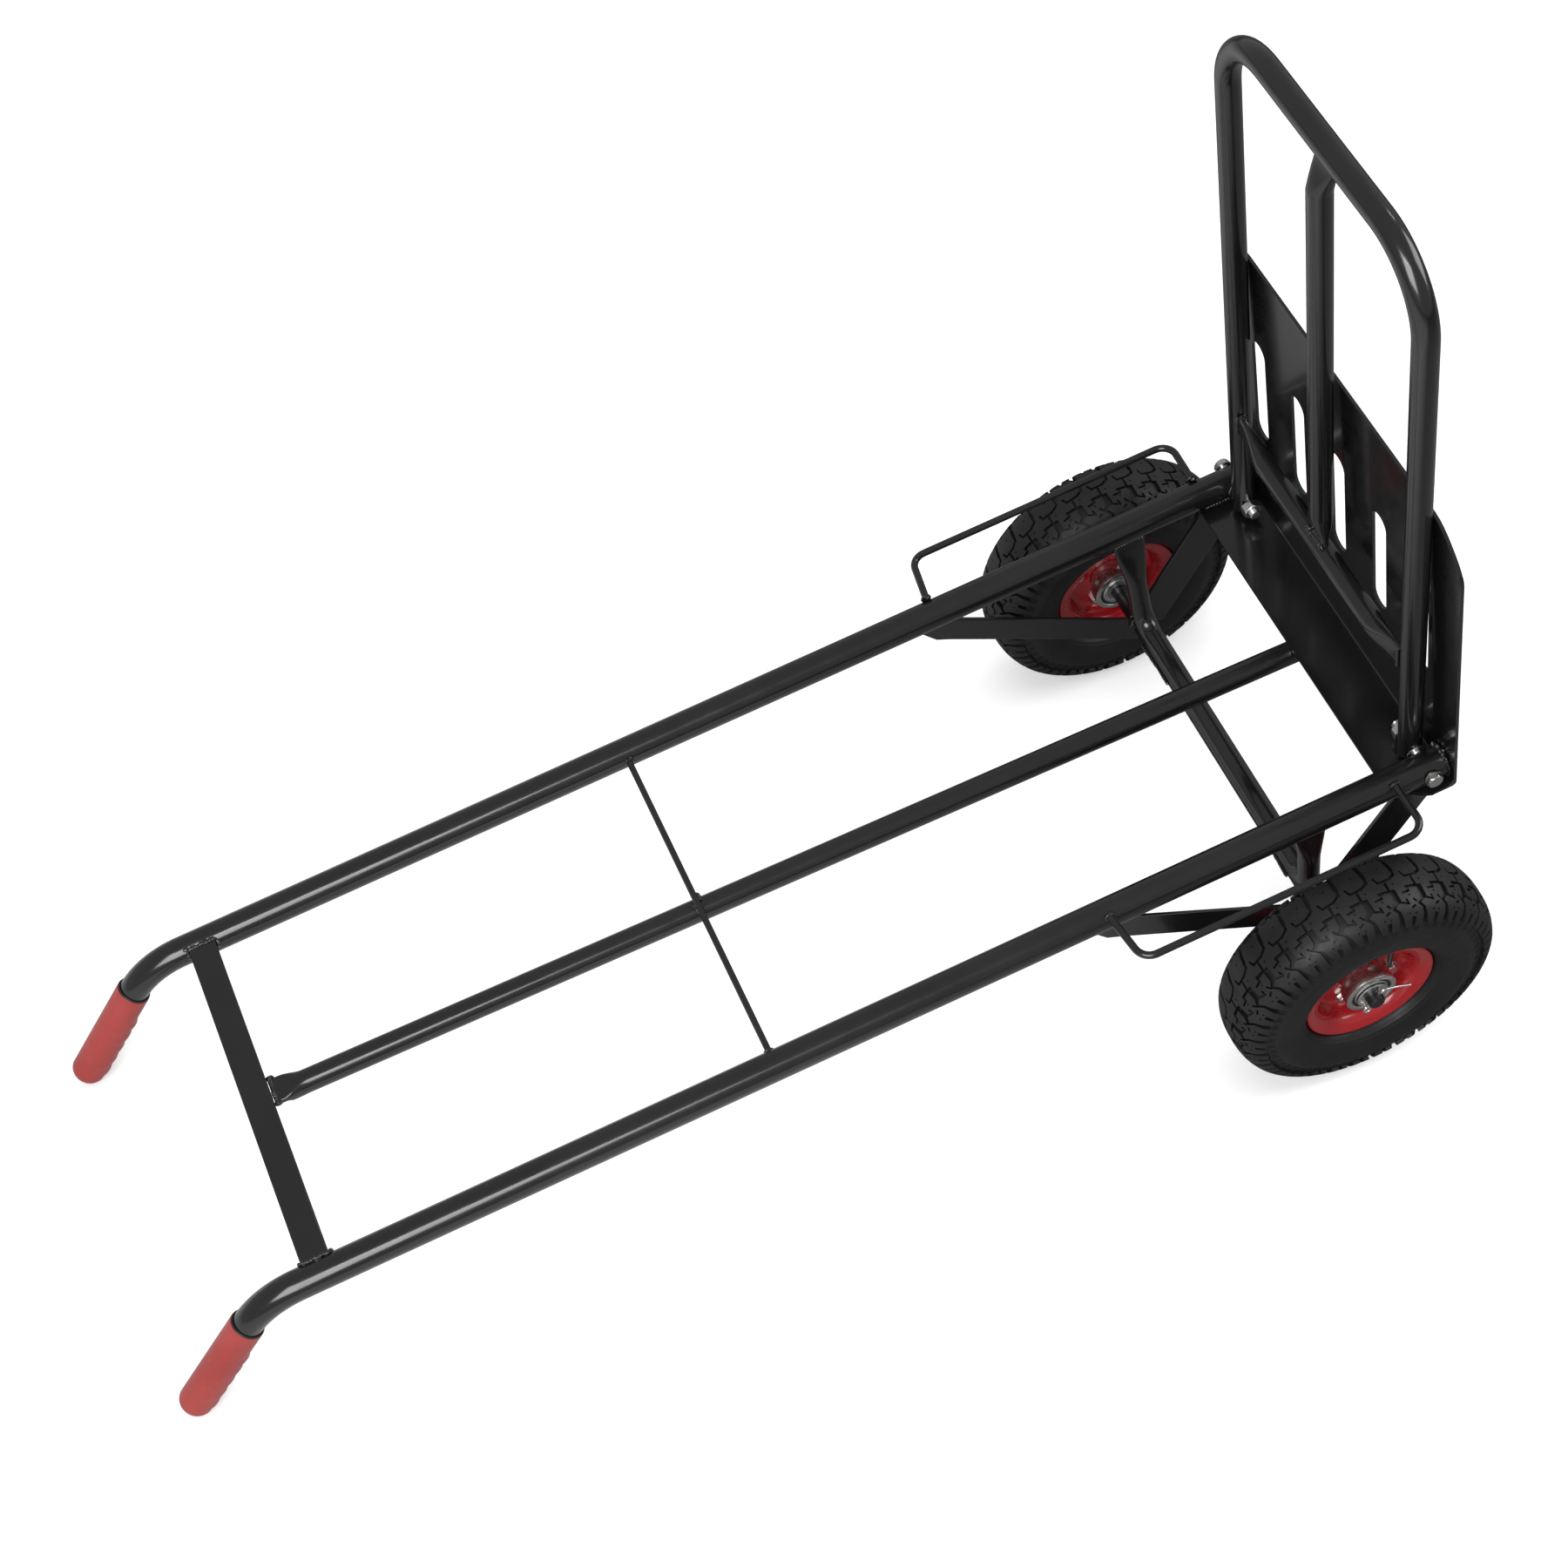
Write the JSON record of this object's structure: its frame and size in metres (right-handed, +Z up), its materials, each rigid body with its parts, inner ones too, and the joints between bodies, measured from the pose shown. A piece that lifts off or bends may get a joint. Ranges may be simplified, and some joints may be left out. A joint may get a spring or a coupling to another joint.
{
  "type": "hand truck",
  "caption": "Tubular hand truck with a slotted toe plate, a fold-out toe loop on pivot bolts, pneumatic wheels under wire guards, and bent handles with soft grips.",
  "frame": {"origin": "centre of the bounding box's underside, on the floor the truck rests on", "axes": "+X towards the toe plate, +Y towards the left wheel, +Z up, with the truck lying on its tyres and grips, load side up"},
  "size_m": [1.2426, 0.6, 0.9164],
  "materials": {
    "black_paint": "semi-gloss black powder coat",
    "red_paint": "gloss red enamel",
    "red_grip": "soft matt vinyl",
    "zinc_steel": "bright zinc plate",
    "bearing_steel": "ground bearing steel",
    "tyre": "matt black rubber",
    "black_rubber": "matt black rubber"
  },
  "bodies": {
    "frame": {"rail_left": "black_paint", "rail_right": "black_paint", "grip_left": "red_grip", "grip_right": "red_grip", "centre_rail": "black_paint", "handle_crossbar": "black_paint", "brace_rod": "black_paint", "toe_plate": "black_paint", "pivot_bolt_left": "zinc_steel", "pivot_washer_left": "zinc_steel", "pivot_nut_left": "zinc_steel", "pivot_bolt_right": "zinc_steel", "pivot_washer_right": "zinc_steel", "pivot_nut_right": "zinc_steel", "wheel_guard_left": "black_paint", "wheel_guard_right": "black_paint", "axle_support_tube": "black_paint", "rear_strut_left": "black_paint", "rear_strut_right": "black_paint", "front_strut_left": "black_paint", "front_strut_right": "black_paint", "axle": "black_paint", "axle_washer_left": "zinc_steel", "axle_washer_right": "zinc_steel", "split_pin_left": "zinc_steel", "split_pin_right": "zinc_steel"},
    "toe_loop": {"loop_frame": "black_paint", "loop_cross_tube": "black_paint", "loop_centre_leg": "black_paint"},
    "wheel_left": {"tyre_left": "tyre", "rim_outer_left": "red_paint", "rim_inner_left": "red_paint", "valve_stem_left": "black_rubber", "hub_left": "zinc_steel", "bearing_outer_left": "bearing_steel", "bearing_inner_left": "bearing_steel", "rim_bolt_1_left": "zinc_steel", "rim_bolt_2_left": "zinc_steel", "rim_bolt_3_left": "zinc_steel", "rim_bolt_4_left": "zinc_steel", "rim_nut_1_left": "zinc_steel", "rim_nut_2_left": "zinc_steel", "rim_nut_3_left": "zinc_steel", "rim_nut_4_left": "zinc_steel"},
    "wheel_right": {"tyre_right": "tyre", "rim_outer_right": "red_paint", "rim_inner_right": "red_paint", "valve_stem_right": "black_rubber", "hub_right": "zinc_steel", "bearing_outer_right": "bearing_steel", "bearing_inner_right": "bearing_steel", "rim_bolt_1_right": "zinc_steel", "rim_bolt_2_right": "zinc_steel", "rim_bolt_3_right": "zinc_steel", "rim_bolt_4_right": "zinc_steel", "rim_nut_1_right": "zinc_steel", "rim_nut_2_right": "zinc_steel", "rim_nut_3_right": "zinc_steel", "rim_nut_4_right": "zinc_steel"}
  },
  "joints": [
    {"name": "left_wheel_spin", "type": "hinge", "parent": "frame", "child": "wheel_left", "pos_m": [0.49134, 0.257, 0.13], "axis": [0, 1, 0], "continuous": true},
    {"name": "right_wheel_spin", "type": "hinge", "parent": "frame", "child": "wheel_right", "pos_m": [0.49134, -0.257, 0.13], "axis": [0, 1, 0], "continuous": true},
    {"name": "toe_loop_fold", "type": "hinge", "parent": "frame", "child": "toe_loop", "pos_m": [0.57802, 0, 0.30099], "axis": [0, -1, 0], "range_deg": [0, 90]}
  ]
}
